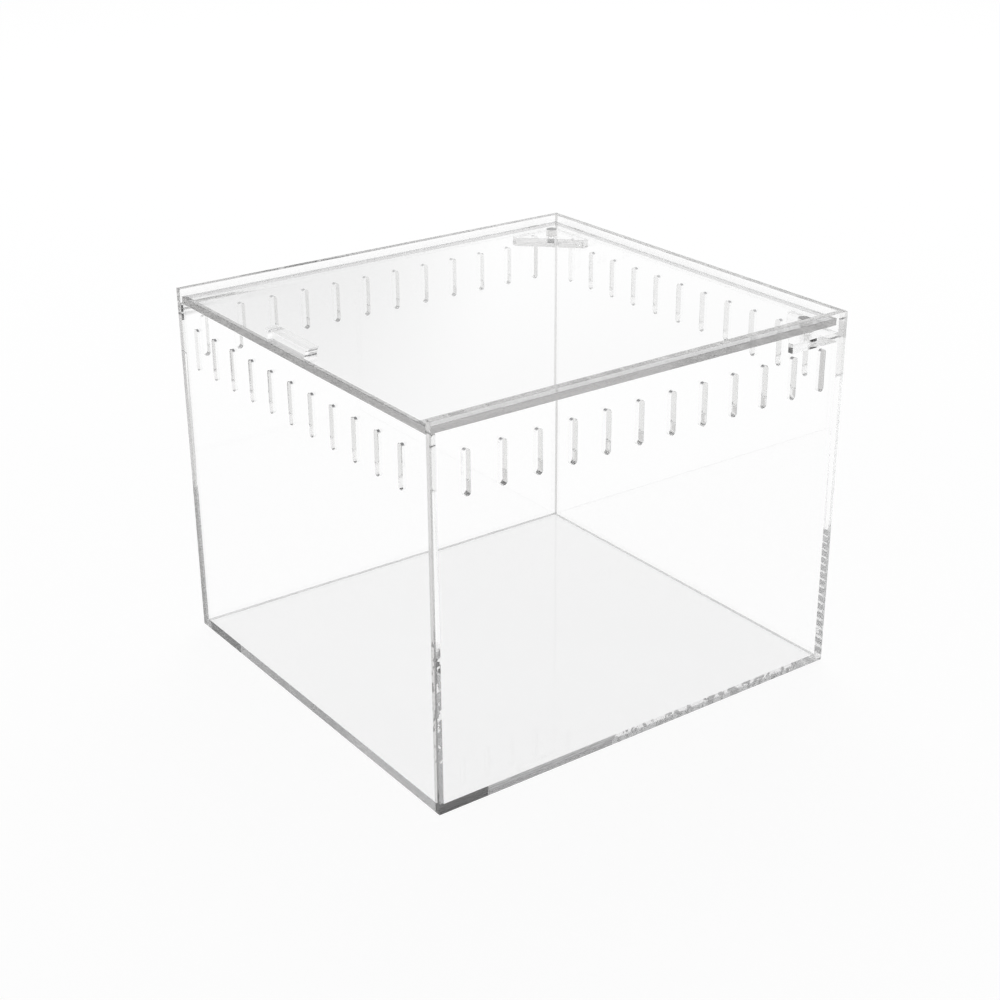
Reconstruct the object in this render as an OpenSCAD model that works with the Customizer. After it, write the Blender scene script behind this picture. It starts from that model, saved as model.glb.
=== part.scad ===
// Clear acrylic keeper box for a small pet, with a lift-off magnetic lid.
// Five sheets are glued into an open box: two side panels run the whole
// depth, the front and back walls fit between them, and the base lies
// inside all four. The front wall stops low, so the lid slides over its
// top edge, while the other three walls stand a little above the lid.
// Origin: centre of the footprint, on the table. +Z is up, the front is -Y.

/* [Box] */
// Outside width, across the two side panels
box_width = 190; // [140:1:300]
// Outside depth, from the front to the back
box_depth = 200; // [140:1:300]
// Height of the side panels and of the back wall
box_height = 158; // [100:1:300]
// Thickness of the side panels
panel_t = 3; // [2:0.5:6]
// Thickness of the front wall and of the back wall
wall_t = 3; // [2:0.5:6]
// Thickness of the base plate
base_t = 3; // [2:0.5:6]

/* [Lid] */
// Thickness of the lid
lid_t = 3; // [2:0.5:6]
// How far the rim stands above the lid's top
lid_recess = 2.6; // [0.5:0.1:8]
// Gap between the lid and the left side panel
lid_left_gap = 1.6; // [0.4:0.1:3]
// Gap between the lid and the right side panel, which the lid lies close to
lid_right_gap = 0.4; // [0.4:0.1:3]
// Gap between the lid and the back wall
lid_back_gap = 1; // [0.4:0.1:3]

/* [Handle] */
// Length of the handle along its top
handle_l = 32; // [20:1:60]
// How far each end of the handle curves in, from its top to its foot
handle_undercut = 2; // [0.5:0.5:6]
// Width of the handle, front to back
handle_w = 5.5; // [3:0.5:12]
// Height of the handle above the lid
handle_h = 4.5; // [3:0.5:10]
// Distance from the lid's front edge to the handle
handle_inset = 1.5; // [0:0.5:20]
// Distance of the handle's middle from the box's middle, along X
handle_shift = -6; // [-30:1:30]

/* [Magnets] */
// Diameter of each round magnet
magnet_d = 5; // [3:0.5:8]
// Height of each magnet that hangs under the lid
lid_magnet_h = 3; // [2:0.5:5]
// Height of each magnet that is sunk in a gusset
gusset_magnet_h = 3; // [1:0.5:3]
// Clearance round a magnet in its pocket, on the radius
pocket_gap = 0.05; // [0.02:0.01:0.2]
// Distance of each magnet's axis from the two inner faces of its corner
magnet_inset = 9; // [6:0.5:10]

/* [Corner gussets] */
// Length of a gusset along each wall
gusset_leg = 25; // [22:1:45]
// Thickness of a gusset
gusset_t = 4; // [3.5:0.5:8]
// Width of a gusset's blunt tips
gusset_tip = 2.5; // [1:0.5:4]

/* [Vent slots] */
// Width of a slot, which is also the diameter of its round ends
vent_w = 3; // [1.5:0.5:5]
// Height of a slot, from end to end
vent_h = 18; // [8:1:30]
// Least distance from a wall's end to the middle of its first slot
vent_margin = 12; // [6:0.5:30]
// Distance between the slots in a side panel
side_pitch = 15.7; // [6:0.1:30]
// Distance from the rim down to the slots in a side panel
side_drop = 13.4; // [12:0.1:40]
// Distance of the right panel's row from the panel's middle, along Y
side_shift = 1.2; // [-3:0.1:3]
// Distance between the slots in the front wall and in the back wall
end_pitch = 15.5; // [6:0.1:30]
// Distance from the rim down to the slots in the front and back walls
end_drop = 14.2; // [12:0.1:40]
// Distance of the front and back walls' rows from their middle, along X
end_shift = -2.4; // [-3:0.1:3]

/* [Hidden] */
$fn = 48;
eps = 1;

// Inside faces of the box
inner_w = box_width - 2 * panel_t;
inner_x = inner_w / 2;
inner_y = box_depth / 2 - wall_t;

// Heights of the lid, and of what carries it
lid_top_z = box_height - lid_recess;
lid_z = lid_top_z - lid_t;
gusset_top_z = lid_z - lid_magnet_h;

// The lid's plan: flush with the front wall's outer face, clear of the rest
lid_left_x = -inner_x + lid_left_gap;
lid_right_x = inner_x - lid_right_gap;
lid_front_y = -box_depth / 2;
lid_back_y = inner_y - lid_back_gap;

magnet_x = inner_x - magnet_inset;
magnet_y = inner_y - magnet_inset;

// As many slots as each wall has room for between its margins
side_vents = 1 + floor((box_depth - 2 * vent_margin) / side_pitch);
end_vents = 1 + floor((inner_w - 2 * vent_margin) / end_pitch);

// A round-ended slot through a sheet: its middle at the origin, its long
// way along Z, cut right through along Y
module vent(depth) {
    straight = vent_h - vent_w;
    for (end = [-1, 1])
        translate([0, 0, end * straight / 2])
            rotate([90, 0, 0])
                cylinder(d = vent_w, h = depth, center = true);
    cube([vent_w, depth, straight], center = true);
}

// A level row of slots, centred on the origin along X
module vent_row(count, pitch, depth) {
    for (i = [0 : count - 1])
        translate([(i - (count - 1) / 2) * pitch, 0, 0])
            vent(depth);
}

// An upright sheet between the side panels, its outer face at y = 0 and its
// thickness towards +Y, with its row of slots at the height they have in
// every wall
module end_wall(height) {
    difference() {
        translate([-inner_x, 0, 0])
            cube([inner_w, wall_t, height]);
        translate([end_shift, wall_t / 2, box_height - end_drop - vent_h / 2])
            vent_row(end_vents, end_pitch, wall_t + 2 * eps);
    }
}

// The right side panel: the whole depth and height of the box. The left one
// is the same sheet turned half round, so its row is shifted the other way
module side_panel() {
    difference() {
        translate([inner_x, -box_depth / 2, 0])
            cube([panel_t, box_depth, box_height]);
        translate([inner_x + panel_t / 2, side_shift, box_height - side_drop - vent_h / 2])
            rotate([0, 0, 90])
                vent_row(side_vents, side_pitch, panel_t + 2 * eps);
    }
}

module base_plate() {
    color([0.93, 0.95, 0.96, 0.35])
        translate([-inner_x, -inner_y, 0])
            cube([inner_w, 2 * inner_y, base_t]);
}

module left_panel() {
    color([0.90, 0.94, 0.96, 0.35])
        rotate([0, 0, 180])
            side_panel();
}

module right_panel() {
    color([0.90, 0.94, 0.96, 0.35])
        side_panel();
}

// The front wall stops where the lid rests on it
module front_wall() {
    color([0.92, 0.94, 0.95, 0.35])
        translate([0, -box_depth / 2, 0])
            end_wall(lid_z);
}

module back_wall() {
    color([0.92, 0.94, 0.95, 0.35])
        translate([0, inner_y, 0])
            end_wall(box_height);
}

module lid_panel() {
    color([0.95, 0.96, 0.97, 0.35])
        translate([lid_left_x, lid_front_y, lid_z])
            cube([lid_right_x - lid_left_x, lid_back_y - lid_front_y, lid_t]);
}

// The handle's side view, from the middle of its foot: each end curves in
// below the top corner, which gives the fingertips a hold
module handle_profile() {
    foot_x = handle_l / 2 - handle_undercut;
    // Radius of the arc through the top corner and the foot's corner that
    // stands square on the lid
    arc_r = (pow(handle_undercut, 2) + pow(handle_h, 2)) / (2 * handle_undercut);
    difference() {
        translate([-handle_l / 2, 0])
            square([handle_l, handle_h]);
        for (side = [-1, 1])
            translate([side * (foot_x + arc_r), 0])
                circle(r = arc_r);
    }
}

module lid_handle() {
    color([0.95, 0.96, 0.97, 0.35])
        translate([handle_shift, lid_front_y + handle_inset + handle_w, lid_top_z])
            rotate([90, 0, 0])
                linear_extrude(height = handle_w)
                    handle_profile();
}

// A triangular plate for the corner at the origin, with its right angle
// there, its legs along -X and -Y, and its top at z = 0
module gusset() {
    difference() {
        translate([0, 0, -gusset_t])
            linear_extrude(height = gusset_t)
                polygon([
                    [0, 0],
                    [-gusset_leg, 0],
                    [-gusset_leg, -gusset_tip],
                    [-gusset_tip, -gusset_leg],
                    [0, -gusset_leg]
                ]);
        translate([-magnet_inset, -magnet_inset, -gusset_magnet_h])
            cylinder(d = magnet_d + 2 * pocket_gap, h = gusset_magnet_h + eps);
    }
}

module right_gusset() {
    color([0.90, 0.92, 0.94, 0.35])
        translate([inner_x, inner_y, gusset_top_z])
            gusset();
}

module left_gusset() {
    color([0.90, 0.92, 0.94, 0.35])
        mirror([1, 0, 0])
            translate([inner_x, inner_y, gusset_top_z])
                gusset();
}

// A round magnet standing on z, in the back corner on the given side
module magnet(side, z, height) {
    color([0.30, 0.31, 0.34])
        translate([side * magnet_x, magnet_y, z])
            cylinder(d = magnet_d, h = height);
}

module left_gusset_magnet() {
    magnet(-1, gusset_top_z - gusset_magnet_h, gusset_magnet_h);
}

module right_gusset_magnet() {
    magnet(1, gusset_top_z - gusset_magnet_h, gusset_magnet_h);
}

module left_lid_magnet() {
    magnet(-1, gusset_top_z, lid_magnet_h);
}

module right_lid_magnet() {
    magnet(1, gusset_top_z, lid_magnet_h);
}

base_plate();
left_panel();
right_panel();
front_wall();
back_wall();
lid_panel();
lid_handle();
left_gusset();
right_gusset();
left_gusset_magnet();
right_gusset_magnet();
left_lid_magnet();
right_lid_magnet();
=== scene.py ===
# %% [markdown]
# # A clear acrylic keeper box
# The box is glued from sheets of clear cast acrylic, and a lid lies in its rim. Clear plastic has
# almost no colour of its own: what is seen is the room, bent by the flat faces and carried along
# inside the sheets to their cut edges. So this lesson spends its effort on three things: exact
# edges, honest joints, and a calm white studio for the plastic to show.

import math

import bmesh
import bpy
from mathutils import Matrix, Vector


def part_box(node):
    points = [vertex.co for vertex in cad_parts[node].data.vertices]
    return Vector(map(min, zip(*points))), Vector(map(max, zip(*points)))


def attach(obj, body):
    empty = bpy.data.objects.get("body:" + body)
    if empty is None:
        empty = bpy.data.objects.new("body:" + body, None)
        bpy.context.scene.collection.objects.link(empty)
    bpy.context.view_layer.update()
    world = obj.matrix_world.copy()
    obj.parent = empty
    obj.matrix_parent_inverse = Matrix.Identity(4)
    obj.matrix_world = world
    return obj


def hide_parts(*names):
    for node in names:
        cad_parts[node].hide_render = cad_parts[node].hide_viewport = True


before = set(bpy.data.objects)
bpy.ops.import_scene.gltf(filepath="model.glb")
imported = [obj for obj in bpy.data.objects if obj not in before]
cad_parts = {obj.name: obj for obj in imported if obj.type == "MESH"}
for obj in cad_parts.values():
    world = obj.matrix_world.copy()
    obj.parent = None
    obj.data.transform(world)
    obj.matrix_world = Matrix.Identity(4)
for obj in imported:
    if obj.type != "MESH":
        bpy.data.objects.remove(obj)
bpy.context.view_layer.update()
MM = 0.001

# %% [markdown]
# Every finish and every glued strip has to land where the sheets really meet. The places could be
# typed in, but then they would drift from the frame, so they are read from its boxes and given
# the names of what they are: an inner face, the lid's underside, the top of the base.

# %% Sizes of the sheets
panel_low, panel_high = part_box("right_panel")
front_low, front_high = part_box("front_wall")
back_low, back_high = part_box("back_wall")
base_low, base_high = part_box("base_plate")
lid_low, lid_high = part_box("lid_panel")
gusset_low, gusset_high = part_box("right_gusset")
handle_low, handle_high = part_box("lid_handle")

outer_x = panel_high.x
inner_x = panel_low.x
inner_y = back_low.y
rim_z = panel_high.z
base_top_z = base_high.z
lid_under_z = lid_low.z
print(f"sheet {outer_x - inner_x:.4f} m, rim {rim_z:.4f} m, lid from {lid_under_z:.4f} m")

# %% [markdown]
# Materials come first. Each is a small tree of nodes around a Principled shader, and all of them
# need the same few moves: a noise in object coordinates, so that a pattern stays on its piece
# when the lid lifts, a fine relief from that noise, and a mix of two shaders. Building the trees
# by hand would repeat those moves many times, so each move is a short function.

# %% Node helpers
EVEN = (1, 1, 1)


def new_material(name):
    """A node material with only a Principled shader and its output."""
    material = bpy.data.materials.new(name)
    material.use_nodes = True
    return material, material.node_tree, material.node_tree.nodes["Principled BSDF"]


def object_coordinates(tree, stretch):
    """Object coordinates times a stretch for each axis."""
    coordinates = tree.nodes.new("ShaderNodeTexCoord")
    mapping = tree.nodes.new("ShaderNodeMapping")
    mapping.inputs["Scale"].default_value = stretch
    tree.links.new(coordinates.outputs["Object"], mapping.inputs["Vector"])
    return mapping.outputs["Vector"]


def add_noise(tree, vector, scale, detail=2.0):
    """A noise at the given place."""
    noise = tree.nodes.new("ShaderNodeTexNoise")
    noise.inputs["Scale"].default_value = scale
    noise.inputs["Detail"].default_value = detail
    tree.links.new(vector, noise.inputs["Vector"])
    return noise.outputs["Fac"]


def add_relief(tree, shader, scale, strength, height, detail=2.0, stretch=EVEN):
    """A fine relief on a shader, from a noise."""
    bump = tree.nodes.new("ShaderNodeBump")
    bump.inputs["Strength"].default_value = strength
    bump.inputs["Distance"].default_value = height
    noise = add_noise(tree, object_coordinates(tree, stretch), scale, detail)
    tree.links.new(noise, bump.inputs["Height"])
    tree.links.new(bump.outputs["Normal"], shader.inputs["Normal"])


def map_range(tree, value, start, end, low=0.0, high=1.0):
    """A value that goes from low to high while the given one goes from start to end."""
    node = tree.nodes.new("ShaderNodeMapRange")
    node.inputs["From Min"].default_value = start
    node.inputs["From Max"].default_value = end
    node.inputs["To Min"].default_value = low
    node.inputs["To Max"].default_value = high
    tree.links.new(value, node.inputs["Value"])
    return node.outputs["Result"]


def mixed(tree, share, first, second):
    """The first shader under a share of the second one: a number or a socket."""
    mix = tree.nodes.new("ShaderNodeMixShader")
    if isinstance(share, float):
        mix.inputs["Fac"].default_value = share
    else:
        tree.links.new(share, mix.inputs["Fac"])
    tree.links.new(first, mix.inputs[1])
    tree.links.new(second, mix.inputs[2])
    return mix.outputs["Shader"]


def diffuse(tree, colour):
    """A plain matt shader."""
    film = tree.nodes.new("ShaderNodeBsdfDiffuse")
    film.inputs["Color"].default_value = (*colour, 1)
    return film.outputs["BSDF"]


def set_surface(tree, look):
    """Makes a look the one that the material shows."""
    tree.links.new(look, tree.nodes["Material Output"].inputs["Surface"])


print("node helpers ready")

# %% [markdown]
# Clear acrylic is a Principled shader with full transmission and an index of refraction of 1.49.
# Its faces are as smooth as glass, so their roughness is 0. Cast sheet is never perfectly flat,
# though, and a very weak, wide relief lets the reflections swim a little. A tint could be added
# inside the sheets, but light that runs along a sheet would come out black, so there is none.

# %% Sheet faces
ACRYLIC_IOR = 1.49
CLEAR = (1.0, 1.0, 1.0)
WAVE_SCALE = 14.0
WAVE_STRENGTH = 0.02
WAVE_HEIGHT = 1 * MM


def clear_acrylic(name, tint, roughness, clarity):
    """Acrylic whose surface tints what passes through it."""
    material, tree, shader = new_material(name)
    shader.inputs["Base Color"].default_value = (*tint, 1)
    shader.inputs["Roughness"].default_value = roughness
    shader.inputs["IOR"].default_value = ACRYLIC_IOR
    shader.inputs["Transmission Weight"].default_value = clarity
    return material, tree, shader


face_finish, face_tree, face_shader = clear_acrylic("acrylic_face", CLEAR, 0.0, 1.0)
add_relief(face_tree, face_shader, WAVE_SCALE, WAVE_STRENGTH, WAVE_HEIGHT)
print(face_finish.name, "with an index of refraction of", ACRYLIC_IOR)

# %% [markdown]
# A laser melts the cut edges smooth, but it leaves fine lines across the sheet and a trace of
# haze, which the roughness and a fine relief carry. The grey tint of the outer edges is painted
# shade: it darkens what passes through them. The lines run through the sheet's thickness, and
# sheets that lie in different planes need the same finish with its lines turned: one function
# makes them all. The walls of the vent slots are cut in the same way, but they are short and lie
# inside the sheet, so their painted shade is lighter and they stay clearer than the rim.

# %% Cut edges
EDGE_ROUGHNESS = 0.10
LINE_SCALE = 900.0
LINE_STRETCH = 0.03
LINE_STRENGTH = 0.01
LINE_HEIGHT = 0.4 * MM
# Painted shade: the outer cut edges are tinted grey, and the slot walls a lighter grey
RIM_SHADE_TINT = (0.52, 0.515, 0.51)
RIM_CLARITY = 0.92
SLOT_SHADE_TINT = (0.80, 0.80, 0.795)
SLOT_CLARITY = 1.0


def cut_edge(name, line_direction, tint, clarity):
    """A cut edge whose fine lines run along the given axis."""
    material, tree, shader = clear_acrylic(name, tint, EDGE_ROUGHNESS, clarity)
    stretch = tuple(LINE_STRETCH if along else 1.0 for along in line_direction)
    add_relief(tree, shader, LINE_SCALE, LINE_STRENGTH, LINE_HEIGHT, stretch=stretch)
    return material


edge_across_x = cut_edge("cut_edge_side_panels", (1, 0, 0), RIM_SHADE_TINT, RIM_CLARITY)
edge_across_y = cut_edge("cut_edge_end_walls", (0, 1, 0), RIM_SHADE_TINT, RIM_CLARITY)
edge_across_z = cut_edge("cut_edge_flat_sheets", (0, 0, 1), RIM_SHADE_TINT, RIM_CLARITY)
slot_across_x = cut_edge("slot_wall_side_panels", (1, 0, 0), SLOT_SHADE_TINT, SLOT_CLARITY)
slot_across_y = cut_edge("slot_wall_end_walls", (0, 1, 0), SLOT_SHADE_TINT, SLOT_CLARITY)
print("5 cut finishes")

# %% [markdown]
# The underside slides over tables and is scuffed all over. A perfect, polished base would be a
# trap for light: a ray that is caught between its faces would never leave and would look black.
# A little roughness and a fine relief below let it out, and the base stays bright.
#
# The back wall's lower edge is left as it was sawn, matt and white. It breaks up the light that
# runs down inside that wall, and the polished vertical edge then shows a row of light dashes.

# %% Undersides
UNDERSIDE_ROUGHNESS = 0.14
SCUFF_SCALE = 300.0
SCUFF_STRENGTH = 0.1
FINE_HEIGHT = 0.2 * MM
FINE_DETAIL = 4.0
SAWN_SHARE = 0.7


def scuffed_acrylic(name):
    """Clear acrylic with a scuffed surface."""
    material, tree, shader = clear_acrylic(name, CLEAR, UNDERSIDE_ROUGHNESS, 1.0)
    add_relief(tree, shader, SCUFF_SCALE, SCUFF_STRENGTH, FINE_HEIGHT, FINE_DETAIL)
    return material, tree, shader


scuffed_finish = scuffed_acrylic("scuffed_underside")[0]
sawn_finish, sawn_tree, sawn_shader = scuffed_acrylic("sawn_underside")
frost = sawn_tree.nodes.new("ShaderNodeBsdfTranslucent")
frost.inputs["Color"].default_value = (*CLEAR, 1)
sawn_look = mixed(sawn_tree, SAWN_SHARE, sawn_shader.outputs["BSDF"], frost.outputs["BSDF"])
set_surface(sawn_tree, sawn_look)
print(scuffed_finish.name, "and", sawn_finish.name)

# %% [markdown]
# A narrow border of the lid's top, beside the rim, is painted a little grey: painted shade for
# the darker band along the rim. A separate thin piece could carry the grey, but it would add a
# second reflection, so the border is a grey veil mixed into the clear sheet's own shader, with a
# soft noise that keeps it from being even.

# %% Lid border of painted shade
SHADE_PATCH_STRETCH = (30, 30, 1)
SHADE_PATCH_SCALE = 4.0
SHADE_SPREAD = 0.2


def painted_shade_border(name, veil, colour):
    """Clear acrylic under a thin grey veil of painted shade."""
    material, tree, shader = clear_acrylic(name, CLEAR, 0.0, 1.0)
    patches = add_noise(tree, object_coordinates(tree, SHADE_PATCH_STRETCH), SHADE_PATCH_SCALE)
    thin = veil * (1 - SHADE_SPREAD)
    thick = veil * (1 + SHADE_SPREAD)
    share = map_range(tree, patches, 0.0, 1.0, thin, thick)
    set_surface(tree, mixed(tree, share, shader.outputs["BSDF"], diffuse(tree, colour)))
    return material


# Painted shade: grey bands on the lid's top along the rim, deeper on the right
far_shade_border = painted_shade_border("lid_painted_shade_left_and_back", 0.19, (0.10, 0.10, 0.105))
right_shade_border = painted_shade_border("lid_painted_shade_right", 0.34, (0.14, 0.14, 0.145))
print(far_shade_border.name, "and", right_shade_border.name)

# %% [markdown]
# Where two sheets are glued, the solvent melts them into one, and light passes straight through:
# that is a Transparent shader. Here and there the solvent ran short. It left patches of small
# bubbles, which mirror the room like beads of mercury, and strips with a thin film of air, which
# are matt and grey. Each patch is a box in the object's own space. It could be a piece of its
# own in the joint, but two surfaces in one place confuse a ray, so a mask in the joint's shader
# does it. The lists below say where the patches are, which is the history of this one box.

# %% Patches in the joints
BASE_MIDDLE_Z = base_top_z / 2
FRONT_MIDDLE_Y = (front_low.y + front_high.y) / 2
BACK_MIDDLE_Y = (back_low.y + back_high.y) / 2
# Half sizes of a box: through the joint, and across a strip that is one sheet wide
DEEP = 1 * MM
WIDE = 2 * MM
# Bubbles: middle, half size and share of the spots
BUBBLE_PATCHES = [
    ((inner_x, 34 * MM, BASE_MIDDLE_Z), (DEEP, 50 * MM, WIDE), 0.53),
    ((inner_x, FRONT_MIDDLE_Y, 47 * MM), (DEEP, WIDE, 26 * MM), 0.44),
    ((inner_x, BACK_MIDDLE_Y, 12 * MM), (DEEP, WIDE, 12 * MM), 0.42),
]
# Films of air: middle, half size, grey and cover
FILM_PATCHES = [
    ((inner_x, 3 * MM, BASE_MIDDLE_Z), (DEEP, 79.5 * MM, WIDE), 0.90, 1.0),
    ((inner_x, -88 * MM, BASE_MIDDLE_Z), (DEEP, 11.5 * MM, WIDE), 0.24, 1.0),
    ((-76 * MM, -inner_y, BASE_MIDDLE_Z), (14 * MM, DEEP, WIDE), 0.30, 0.8),
    ((0.0, inner_y, BASE_MIDDLE_Z), (92.5 * MM, DEEP, WIDE), 0.80, 0.3),
    ((-inner_x, 0.0, BASE_MIDDLE_Z), (DEEP, 98.5 * MM, WIDE), 0.80, 0.3),
    ((-inner_x, FRONT_MIDDLE_Y, 149.7 * MM), (DEEP, WIDE, 1.5 * MM), 0.06, 0.8),
    ((-inner_x, FRONT_MIDDLE_Y, 146.1 * MM), (DEEP, WIDE, 1.4 * MM), 0.06, 0.8),
]
print(f"{len(BUBBLE_PATCHES)} patches of bubbles and {len(FILM_PATCHES)} films of air")

# %% [markdown]
# A mask is 1 inside a box and 0 outside it. The distance from the box's middle is divided by its
# half size, so that the furthest of the three axes reaches 1 just at the box's side.

# %% Box masks
MASK_INSIDE = 0.99


def math_node(tree, operation, first, second):
    """The result of one operation on two values, each a number or a socket."""
    node = tree.nodes.new("ShaderNodeMath")
    node.operation = operation
    for socket, value in zip(node.inputs, (first, second)):
        if isinstance(value, float):
            socket.default_value = value
        else:
            tree.links.new(value, socket)
    return node.outputs["Value"]


def vector_node(tree, operation, vector, other=(0, 0, 0)):
    """The result of one operation on a vector and fixed values."""
    node = tree.nodes.new("ShaderNodeVectorMath")
    node.operation = operation
    node.inputs[1].default_value = other
    tree.links.new(vector, node.inputs[0])
    return node.outputs["Vector"]


def patch_mask(tree, position, middle, half):
    """1 inside a box in object space, falling to 0 at its sides."""
    offset = vector_node(tree, "SUBTRACT", position, middle)
    distance = vector_node(tree, "ABSOLUTE", vector_node(tree, "DIVIDE", offset, half))
    axes = tree.nodes.new("ShaderNodeSeparateXYZ")
    tree.links.new(distance, axes.inputs["Vector"])
    level = math_node(tree, "MAXIMUM", axes.outputs["X"], axes.outputs["Y"])
    furthest = math_node(tree, "MAXIMUM", level, axes.outputs["Z"])
    return map_range(tree, furthest, 1.0, MASK_INSIDE)


print("box masks ready")

# %% [markdown]
# A film of air is streaky, because the glue was drawn in along the joint, so a noise that is
# stretched along the sheets thins its cover. A bubble is a spot where a fine noise and the
# patch's share together pass 1: a larger share makes larger and denser bubbles.

# %% Glued joints
STREAK_STRETCH = (0.06, 0.06, 1)
STREAK_SCALE = 1600.0
STREAK_START = 0.40
STREAK_END = 0.55
THINNEST_COVER = 0.62
BUBBLE_SCALE = 420.0
BUBBLE_SIDE = 1.03
BUBBLE_GREY = (0.93, 0.93, 0.93)
BUBBLE_ROUGHNESS = 0.25


def with_films(tree, position, look, patches):
    """A look under a streaky film of air in each patch."""
    streaks = add_noise(tree, object_coordinates(tree, STREAK_STRETCH), STREAK_SCALE)
    cover = map_range(tree, streaks, STREAK_START, STREAK_END, THINNEST_COVER)
    for middle, half, grey, most in patches:
        mask = math_node(tree, "MULTIPLY", patch_mask(tree, position, middle, half), most)
        share = math_node(tree, "MULTIPLY", mask, cover)
        look = mixed(tree, share, look, diffuse(tree, (grey, grey, grey)))
    return look


def with_bubbles(tree, position, look, bubble, patches):
    """A look with spots of a bubble's shader in each patch."""
    reach = 0.0
    for middle, half, share in patches:
        mask = math_node(tree, "MULTIPLY", patch_mask(tree, position, middle, half), share)
        reach = math_node(tree, "MAXIMUM", reach, mask)
    spots = math_node(tree, "ADD", add_noise(tree, position, BUBBLE_SCALE), reach)
    return mixed(tree, map_range(tree, spots, 1.0, BUBBLE_SIDE), look, bubble)


joint_finish, joint_tree, bubble_shader = new_material("glue_joint")
bubble_shader.inputs["Base Color"].default_value = (*BUBBLE_GREY, 1)
bubble_shader.inputs["Metallic"].default_value = 1.0
bubble_shader.inputs["Roughness"].default_value = BUBBLE_ROUGHNESS
bubble_look = bubble_shader.outputs["BSDF"]
melted = joint_tree.nodes.new("ShaderNodeBsdfTransparent").outputs["BSDF"]
joint_place = object_coordinates(joint_tree, EVEN)
filmed = with_films(joint_tree, joint_place, melted, FILM_PATCHES)
bubbled = with_bubbles(joint_tree, joint_place, filmed, bubble_look, BUBBLE_PATCHES)
set_surface(joint_tree, bubbled)
print(joint_finish.name, "with", len(joint_tree.nodes), "nodes")

# %% [markdown]
# The magnets are nickel-plated discs. Nickel is a warm grey metal, and rolling and handling
# leave it with a soft, uneven polish. The faces that are glued in or on show the dark glue
# behind them through the clear plastic, so they get a nearly black, lumpy finish of their own.

# %% Nickel and glue
NICKEL_COLOUR = (0.70, 0.69, 0.68)
NICKEL_ROUGHNESS = 0.22
NICKEL_GRAIN = 1500.0
GRAIN_STRENGTH = 0.1
GLUE_COLOUR = (0.012, 0.011, 0.010)
GLUE_ROUGHNESS = 0.5
GLUE_LUMPS = 900.0
LUMP_STRENGTH = 0.2

nickel_finish, nickel_tree, nickel_shader = new_material("magnet_nickel")
nickel_shader.inputs["Base Color"].default_value = (*NICKEL_COLOUR, 1)
nickel_shader.inputs["Metallic"].default_value = 1.0
nickel_shader.inputs["Roughness"].default_value = NICKEL_ROUGHNESS
add_relief(nickel_tree, nickel_shader, NICKEL_GRAIN, GRAIN_STRENGTH, FINE_HEIGHT, FINE_DETAIL)

glue_finish, glue_tree, glue_shader = new_material("magnet_glue")
glue_shader.inputs["Base Color"].default_value = (*GLUE_COLOUR, 1)
glue_shader.inputs["Roughness"].default_value = GLUE_ROUGHNESS
add_relief(glue_tree, glue_shader, GLUE_LUMPS, LUMP_STRENGTH, FINE_HEIGHT)
print(nickel_finish.name, "and", glue_finish.name)

# %% [markdown]
# Each sheet could be built again from a box and cylinders, but then its slots might drift. So it
# starts as a copy of its own solid: the copy's triangles are merged into whole flat faces, and
# its faces are then cut along the lines where one finish ends and the next begins.

# %% Copy and cut a sheet
MERGE_DISTANCE = 1e-6
FLAT_ANGLE = math.radians(0.5)


def make_active(piece):
    """Selects one piece and nothing else."""
    bpy.ops.object.select_all(action="DESELECT")
    piece.select_set(True)
    bpy.context.view_layer.objects.active = piece


def start_edit(piece):
    """Opens a piece in edit mode, with all of it selected."""
    make_active(piece)
    bpy.ops.object.mode_set(mode="EDIT")
    bpy.ops.mesh.select_all(action="SELECT")


def copy_of_node(node):
    """A copy of a CAD node with whole flat faces and no materials."""
    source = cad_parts[node]
    piece = bpy.data.objects.new(f"{node}_clear", source.data.copy())
    bpy.context.scene.collection.objects.link(piece)
    piece.data.materials.clear()
    start_edit(piece)
    bpy.ops.mesh.remove_doubles(threshold=MERGE_DISTANCE)
    bpy.ops.mesh.dissolve_limited(angle_limit=FLAT_ANGLE)
    bpy.ops.object.mode_set(mode="OBJECT")
    return piece


def cut_faces(piece, cuts):
    """Cuts the faces along planes given as (point, normal), with nothing removed."""
    for point, normal in cuts:
        start_edit(piece)
        bpy.ops.mesh.bisect(plane_co=point, plane_no=normal, use_fill=False)
        bpy.ops.object.mode_set(mode="OBJECT")


def keep_within(piece, low, high):
    """Moves the points that lie outside a box onto its sides."""
    for vertex in piece.data.vertices:
        for axis in range(3):
            vertex.co[axis] = min(max(vertex.co[axis], low[axis]), high[axis])


print("sheet helpers ready")

# %% [markdown]
# A real edge is never perfectly sharp, and its thin line of light is what the eye reads as an
# edge. So each sharp edge gets a fine arris. A bevel by angle would reach into the joints as
# well, where it would open a groove, so each edge gets a weight, and those of a glued face none.

# %% Arrises
ARRIS = 0.08 * MM
SHARP_ANGLE = math.radians(40)


def soften_edges(piece, width, joint_test):
    """Bevels the sharp edges of a sheet, apart from those of a glued face."""
    mesh = bmesh.new()
    mesh.from_mesh(piece.data)
    layers = mesh.edges.layers.float
    weights = layers.get("bevel_weight_edge") or layers.new("bevel_weight_edge")
    count = 0
    for edge in mesh.edges:
        if len(edge.link_faces) != 2 or edge.calc_face_angle() < SHARP_ANGLE:
            continue
        if any(joint_test(face.calc_center_median(), face.normal) for face in edge.link_faces):
            continue
        edge[weights] = 1.0
        count += 1
    mesh.to_mesh(piece.data)
    mesh.free()
    bevel = piece.modifiers.new("arris", "BEVEL")
    bevel.width = width
    bevel.segments = 1
    bevel.limit_method = "WEIGHT"
    make_active(piece)
    bpy.ops.object.modifier_apply(modifier=bevel.name)
    return count


print(f"arrises of {ARRIS / MM:.2f} mm")

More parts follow.
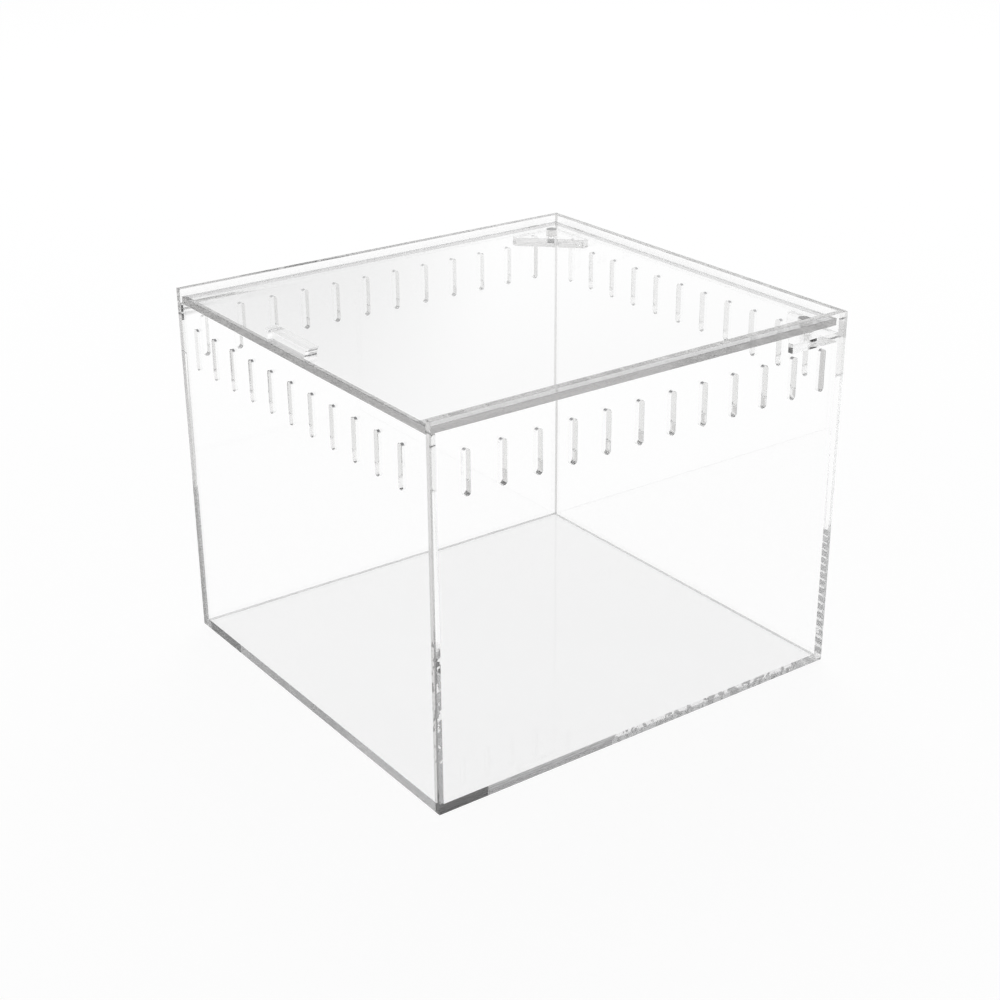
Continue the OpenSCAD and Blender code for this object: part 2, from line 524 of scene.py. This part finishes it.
# %% [markdown]
# One function dresses every sheet: it copies the solid, cuts and softens it, and gives each face
# the finish of what it is. Tests that are written beside each sheet say which faces are glued,
# which are cut edges and which carry the lid's painted shade. A cut edge that lies in from the
# sheet's ends and rim is the wall of a slot.

# %% Dress a sheet
KINDS = ("face", "edge", "joint", "slot", "underside", "far", "right")
SHEET_LIMIT = 10 * MM
SLOT_MARGIN = 1 * MM
TOUCHING = 0.02 * MM
FACING = 0.9
EDGE_ON = 0.5


def near(a, b):
    """Whether two places are the same, apart from rounding."""
    return abs(a - b) < TOUCHING


def never(middle, normal):
    """A test that no face passes."""
    return None


def in_vent_band(middle, low, high):
    """Whether a point lies in from a sheet's ends and rim, as the walls of its slots do."""
    long_axes = [axis for axis in range(3) if high[axis] - low[axis] > SHEET_LIMIT]
    margins = [min(middle[axis] - low[axis], high[axis] - middle[axis]) for axis in long_axes]
    return min(margins) > SLOT_MARGIN


def dress(
    node,
    body,
    edge_finish,
    slot_finish=None,
    cuts=(),
    joint_test=never,
    edge_test=never,
    border_test=never,
    room=None,
    underside=scuffed_finish,
):
    """The visible sheet for a node, with its arrises and a finish for each of its faces."""
    piece = copy_of_node(node)
    low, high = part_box(node)
    cut_faces(piece, cuts)
    softened = soften_edges(piece, ARRIS, joint_test)
    finishes = [face_finish, edge_finish, joint_finish, slot_finish or edge_finish, underside]
    if border_test is not never:
        finishes += [far_shade_border, right_shade_border]
    for finish in finishes:
        piece.data.materials.append(finish)
    for face in piece.data.polygons:
        middle = face.center
        normal = face.normal
        face.use_smooth = False
        if joint_test(middle, normal):
            kind = "joint"
        elif normal.z < -FACING and near(middle.z, 0):
            kind = "underside"
        elif edge_test(middle, normal):
            kind = "slot" if in_vent_band(middle, low, high) else "edge"
        else:
            kind = border_test(middle, normal) or "face"
        face.material_index = KINDS.index(kind)
    if room:
        keep_within(piece, *room)
    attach(piece, body)
    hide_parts(node)
    print(f"{piece.name}: {len(piece.data.polygons)} faces, {softened} edges softened")


# %% [markdown]
# Two faces in exactly the same place confuse a ray: it may hit either one first, or miss one. So
# a glued piece stops a hundredth of a millimetre short of its neighbour, far too little to see,
# and the front wall stops three hundredths below the lid that rests on it.

# %% Room between touching faces
HAIR = 0.01 * MM
REST_GAP = 0.03 * MM


def room_inside(low, high, hair):
    """A node's box, smaller by a hair on both sides along the given axes."""
    hair = Vector(hair)
    return low + hair, high - hair


print(f"glued faces {HAIR / MM:.2f} mm apart")

# %% [markdown]
# The side panels run the whole depth. On their inner face, the strips against the base, the end
# walls and a gusset are glued, so the face is cut along those lines first. All else that looks
# along the sheet is a cut edge.

# %% Side panels
Z_CUTS = [((0, 0, z), (0, 0, 1)) for z in (base_top_z, gusset_low.z, gusset_high.z, lid_under_z)]
Y_CUTS = [((0, y, 0), (0, 1, 0)) for y in (-inner_y, inner_y, gusset_low.y)]


def panel_joint(middle, normal):
    """Whether a face is a part of a panel's inner face that carries glue."""
    points_inwards = abs(normal.x) > FACING and middle.x * normal.x < 0
    if not points_inwards or not near(abs(middle.x), inner_x):
        return False
    to_base = middle.z < base_top_z
    to_front = middle.y < -inner_y and middle.z < lid_under_z
    to_back = middle.y > inner_y
    to_gusset = middle.y > gusset_low.y and gusset_low.z < middle.z < gusset_high.z
    return to_base or to_front or to_back or to_gusset


def panel_edge(middle, normal):
    """Whether a face looks along a side panel, as its edges and slot walls do."""
    return abs(normal.x) < EDGE_ON


for panel in ("left_panel", "right_panel"):
    dress(
        panel,
        "box",
        edge_across_x,
        slot_across_x,
        cuts=Z_CUTS + Y_CUTS,
        joint_test=panel_joint,
        edge_test=panel_edge,
    )

# %% [markdown]
# The end walls stand between the side panels. Their ends are glued to the panels' inner faces,
# and the lowest strip of their inner face is glued to the base. The back wall also carries the
# gussets, so it is cut round them as well.

# %% End walls
GUSSET_X_CUTS = [((x, 0, 0), (1, 0, 0)) for x in (-gusset_low.x, gusset_low.x)]


def end_wall_joint(middle, normal):
    """Whether a face of an end wall is glued to a panel, the base or a gusset."""
    if abs(normal.x) > FACING and near(abs(middle.x), inner_x):
        return True
    if abs(normal.y) < FACING or not near(abs(middle.y), inner_y):
        return False
    if middle.z < base_top_z:
        return True
    to_gusset = abs(middle.x) > gusset_low.x and gusset_low.z < middle.z < gusset_high.z
    return middle.y > 0 and to_gusset


def end_wall_edge(middle, normal):
    """Whether a face looks along an end wall, as its edges and slot walls do."""
    return abs(normal.y) < EDGE_ON


front_room = room_inside(front_low, front_high, (HAIR, 0, 0))
front_room[1].z -= REST_GAP
dress(
    "front_wall",
    "box",
    edge_across_y,
    slot_across_y,
    cuts=Z_CUTS[:1],
    joint_test=end_wall_joint,
    edge_test=end_wall_edge,
    room=front_room,
)
dress(
    "back_wall",
    "box",
    edge_across_y,
    slot_across_y,
    cuts=Z_CUTS[:3] + GUSSET_X_CUTS,
    joint_test=end_wall_joint,
    edge_test=end_wall_edge,
    room=room_inside(back_low, back_high, (HAIR, 0, 0)),
    underside=sawn_finish,
)

# %% [markdown]
# The base lies inside the walls, so all four of its edges are glued and none of them is seen
# directly. The gussets are triangular plates that carry the lower magnets, and they are glued
# along their two legs. Only their long edge shows its cut.

# %% Base and gussets
FAR_OFF = 1.0


def sheet_edge(middle, normal):
    """Whether a face of a flat sheet is one of its edges."""
    return abs(normal.z) < EDGE_ON


def gusset_joint(middle, normal):
    """Whether a face of a gusset is glued to a panel or to the back wall."""
    against_panel = abs(normal.x) > FACING and near(abs(middle.x), inner_x)
    against_back = normal.y > FACING and near(middle.y, inner_y)
    return against_panel or against_back


base_room = room_inside(base_low, base_high, (HAIR, HAIR, 0))
dress("base_plate", "box", edge_across_z, joint_test=sheet_edge, room=base_room)
gusset_room = (
    Vector((-inner_x + HAIR, -FAR_OFF, 0)),
    Vector((inner_x - HAIR, inner_y - HAIR, FAR_OFF)),
)
for gusset in ("left_gusset", "right_gusset"):
    dress(
        gusset,
        "box",
        edge_across_z,
        joint_test=gusset_joint,
        edge_test=sheet_edge,
        room=gusset_room,
    )

# %% [markdown]
# The lid is one plain sheet with four cut edges, and its top is cut along the borders of painted
# shade. Its handle is a short bar whose ends curve in below the top, so that a fingertip catches
# it.
# The handle's foot keeps a hair of air above the lid: that thin gap mirrors the light, and
# without it the foot would melt into the lid and could not be seen.

# %% Lid and handle
LEFT_BORDER = lid_low.x + 5.5 * MM
RIGHT_BORDER = lid_high.x - 5.5 * MM
BACK_BORDER = lid_high.y - 4 * MM
BORDER_CUTS = [
    ((LEFT_BORDER, 0, 0), (1, 0, 0)),
    ((RIGHT_BORDER, 0, 0), (1, 0, 0)),
    ((0, BACK_BORDER, 0), (0, 1, 0)),
]


def lid_border(middle, normal):
    """Which border of the lid's top a face lies in, if any."""
    if normal.z < FACING:
        return None
    if middle.x > RIGHT_BORDER:
        return "right"
    if middle.x < LEFT_BORDER or middle.y > BACK_BORDER:
        return "far"
    return None


dress(
    "lid_panel",
    "lid",
    edge_across_z,
    cuts=BORDER_CUTS,
    edge_test=sheet_edge,
    border_test=lid_border,
)
handle_room = (handle_low + Vector((0, 0, HAIR)), handle_high)
dress("lid_handle", "lid", edge_across_y, room=handle_room)

# %% [markdown]
# The magnets are short discs with rounded rims, made as a hand would: a cylinder is added at its
# size and place, and its two rims are bevelled. The lid's magnets are glued by their tops, and
# the gussets' magnets lie in pockets that hide all but their tops.

# %% Magnets
DISC_SIDES = 48
END_GAP = 0.02 * MM
RIM_ROUNDING = 0.3 * MM
RIM_STEPS = 3
RIM_ANGLE = math.radians(60)
SMOOTH_ANGLE = math.radians(35)


def magnet_disc(node, body, glued):
    """A magnet whose faces that pass the test carry dark glue."""
    low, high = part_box(node)
    bpy.ops.object.select_all(action="DESELECT")
    bpy.ops.mesh.primitive_cylinder_add(
        vertices=DISC_SIDES,
        radius=(high.x - low.x) / 2,
        depth=high.z - low.z - 2 * END_GAP,
        location=(low + high) / 2,
    )
    disc = bpy.context.object
    disc.name = f"{node}_disc"
    bpy.ops.object.transform_apply(location=True, rotation=False, scale=False)
    bevel = disc.modifiers.new("rim", "BEVEL")
    bevel.width = RIM_ROUNDING
    bevel.segments = RIM_STEPS
    bevel.angle_limit = RIM_ANGLE
    bpy.ops.object.modifier_apply(modifier=bevel.name)
    bpy.ops.object.shade_smooth_by_angle(angle=SMOOTH_ANGLE)
    disc.data.materials.append(nickel_finish)
    disc.data.materials.append(glue_finish)
    for face in disc.data.polygons:
        face.material_index = int(glued(face.normal))
    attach(disc, body)
    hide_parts(node)
    print(f"{disc.name}: {len(disc.data.polygons)} faces")


def top_only(normal):
    """Whether a face is a disc's top."""
    return normal.z > FACING


def all_but_top(normal):
    """Whether a face is a disc's side, rim or underside."""
    return normal.z < FACING


for side in ("left", "right"):
    magnet_disc(f"{side}_gusset_magnet", "box", all_but_top)
    magnet_disc(f"{side}_lid_magnet", "lid", top_only)

# %% [markdown]
# The studio's floor is a wide white plane. Most of its brightness is its own glow, so that it is
# seen as white through every sheet, and a smaller part comes from the lamp and takes the soft
# shadow that grounds the box. It lies a hair below the box, so that they never share a face.

# %% Floor
FLOOR_SIZE = 12
FLOOR_DROP = 0.02 * MM
FLOOR_GLOW = 0.93
FLOOR_COLOUR = (0.12, 0.12, 0.12)

bpy.ops.object.select_all(action="DESELECT")
bpy.ops.mesh.primitive_plane_add(size=FLOOR_SIZE, location=(0, 0, -FLOOR_DROP))
floor = bpy.context.object
floor.name = "floor"
floor_finish, _, floor_shader = new_material("floor_white")
floor_shader.inputs["Base Color"].default_value = (*FLOOR_COLOUR, 1)
floor_shader.inputs["Roughness"].default_value = 1.0
floor_shader.inputs["Specular IOR Level"].default_value = 0.0
floor_shader.inputs["Emission Color"].default_value = (*CLEAR, 1)
floor_shader.inputs["Emission Strength"].default_value = FLOOR_GLOW
floor.data.materials.append(floor_finish)
print(f"floor {FLOOR_SIZE} m wide, glow {FLOOR_GLOW}")

# %% [markdown]
# The world is white low down and falls to dark grey overhead, as a room does round a light
# table. The cut edges gather that grey from above and show it as their own. An image of a whole
# room could do the same, but a ramp over the direction's height is calm and easy to steer.

# %% World
SKY_STOPS = [
    (0.27, (1.0, 1.0, 1.0)),
    (0.42, (0.76, 0.76, 0.76)),
    (0.60, (0.30, 0.30, 0.31)),
    (0.85, (0.05, 0.05, 0.055)),
]

world = bpy.data.worlds.new("studio")
bpy.context.scene.world = world
world.use_nodes = True
world_tree = world.node_tree
backdrop = world_tree.nodes["Background"]
direction = world_tree.nodes.new("ShaderNodeTexCoord")
split = world_tree.nodes.new("ShaderNodeSeparateXYZ")
sky = world_tree.nodes.new("ShaderNodeValToRGB")
world_tree.links.new(direction.outputs["Generated"], split.inputs["Vector"])
world_tree.links.new(split.outputs["Z"], sky.inputs["Fac"])
stops = sky.color_ramp.elements
stops[0].position = SKY_STOPS[0][0]
stops[1].position = SKY_STOPS[-1][0]
for height, _ in SKY_STOPS[1:-1]:
    stops.new(height)
for stop, (_, colour) in zip(stops, SKY_STOPS):
    stop.color = (*colour, 1)
print("sky stops at", [round(stop.position, 2) for stop in stops])

# %% [markdown]
# One soft, darker patch stands low on the left of the room, like an open doorway. The lid mirrors
# it weakly, so its left part turns a little grey and the slots below it stand out. The patch is
# round: it depends only on the angle between a direction and the doorway's.

# %% Doorway
DOORWAY_DIRECTION = Vector((-0.90, 0.36, 0.26)).normalized()
DOORWAY_EDGE = 0.970
DOORWAY_CORE = 0.993
DOORWAY_GREY = (0.60, 0.60, 0.60)
# Sockets of a Mix node that mixes colours
MIX_SHARE = 0
MIX_FIRST = 6
MIX_SECOND = 7
MIX_RESULT = 2

towards = world_tree.nodes.new("ShaderNodeVectorMath")
towards.operation = "DOT_PRODUCT"
towards.inputs[1].default_value = DOORWAY_DIRECTION
world_tree.links.new(direction.outputs["Generated"], towards.inputs[0])
darkness = map_range(world_tree, towards.outputs["Value"], DOORWAY_EDGE, DOORWAY_CORE)
darkness.node.interpolation_type = "SMOOTHSTEP"
room_colour = world_tree.nodes.new("ShaderNodeMix")
room_colour.data_type = "RGBA"
room_colour.inputs[MIX_SECOND].default_value = (*DOORWAY_GREY, 1)
world_tree.links.new(darkness, room_colour.inputs[MIX_SHARE])
world_tree.links.new(sky.outputs["Color"], room_colour.inputs[MIX_FIRST])
world_tree.links.new(room_colour.outputs[MIX_RESULT], backdrop.inputs["Color"])
print("doorway towards", [round(v, 2) for v in DOORWAY_DIRECTION])

# %% [markdown]
# The camera stands in front of the right-hand corner and looks down at the box. Its place and
# turn were solved from the box's corners, so they are given as a place and two of its axes.

# %% Camera
CAMERA_PLACE = Vector((0.55834, -0.40527, 0.37672))
CAMERA_RIGHT = Vector((0.58693, 0.80961, -0.00593))
CAMERA_BACK = Vector((0.74060, -0.53391, 0.40798))
CAMERA_LENS = 63.541
CAMERA_SENSOR = 36

lens = bpy.data.cameras.new("studio_camera")
lens.sensor_width = CAMERA_SENSOR
lens.lens = CAMERA_LENS
camera = bpy.data.objects.new("studio_camera", lens)
bpy.context.scene.collection.objects.link(camera)
camera_up = CAMERA_BACK.cross(CAMERA_RIGHT)
turn = Matrix((CAMERA_RIGHT, camera_up, CAMERA_BACK)).transposed()
camera.matrix_world = Matrix.Translation(CAMERA_PLACE) @ turn.to_4x4()
bpy.context.scene.camera = camera
print(f"camera {CAMERA_PLACE.length:.2f} m from the box, {CAMERA_LENS:.1f} mm lens")

# %% [markdown]
# One large soft lamp over the back left gives the floor its shadow. It is hidden from the
# plastic's reflections, where its square would look like a window that the room doesn't have.

# %% Lamp
LAMP_PLACE = Vector((-1.2, 0.9, 1.6))
LAMP_TARGET = Vector((0, 0, 0.05))
LAMP_SIZE = 1.4
LAMP_POWER = 12

lamp = bpy.data.lights.new("lamp_back_left", "AREA")
lamp.shape = "SQUARE"
lamp.size = LAMP_SIZE
lamp.energy = LAMP_POWER
lamp_holder = bpy.data.objects.new("lamp_back_left", lamp)
bpy.context.scene.collection.objects.link(lamp_holder)
lamp_holder.location = LAMP_PLACE
lamp_holder.rotation_euler = (LAMP_TARGET - LAMP_PLACE).to_track_quat("-Z", "Y").to_euler()
lamp_holder.visible_glossy = False
lamp_holder.visible_transmission = False
print(f"lamp of {LAMP_POWER} W, {LAMP_SIZE} m wide")

# %% [markdown]
# Light bounces many times inside clear sheets before it leaves them, so the light paths are
# allowed far more bounces than solid objects need. With too few, the sheets would show black.

# %% Light paths
MOST_BOUNCES = 96
MOST_CLEAR_JOINTS = 64

cycles = bpy.context.scene.cycles
cycles.max_bounces = MOST_BOUNCES
cycles.transmission_bounces = MOST_BOUNCES
cycles.glossy_bounces = MOST_BOUNCES
cycles.transparent_max_bounces = MOST_CLEAR_JOINTS
bpy.context.scene.view_settings.view_transform = "Standard"
print(f"up to {MOST_BOUNCES} bounces")
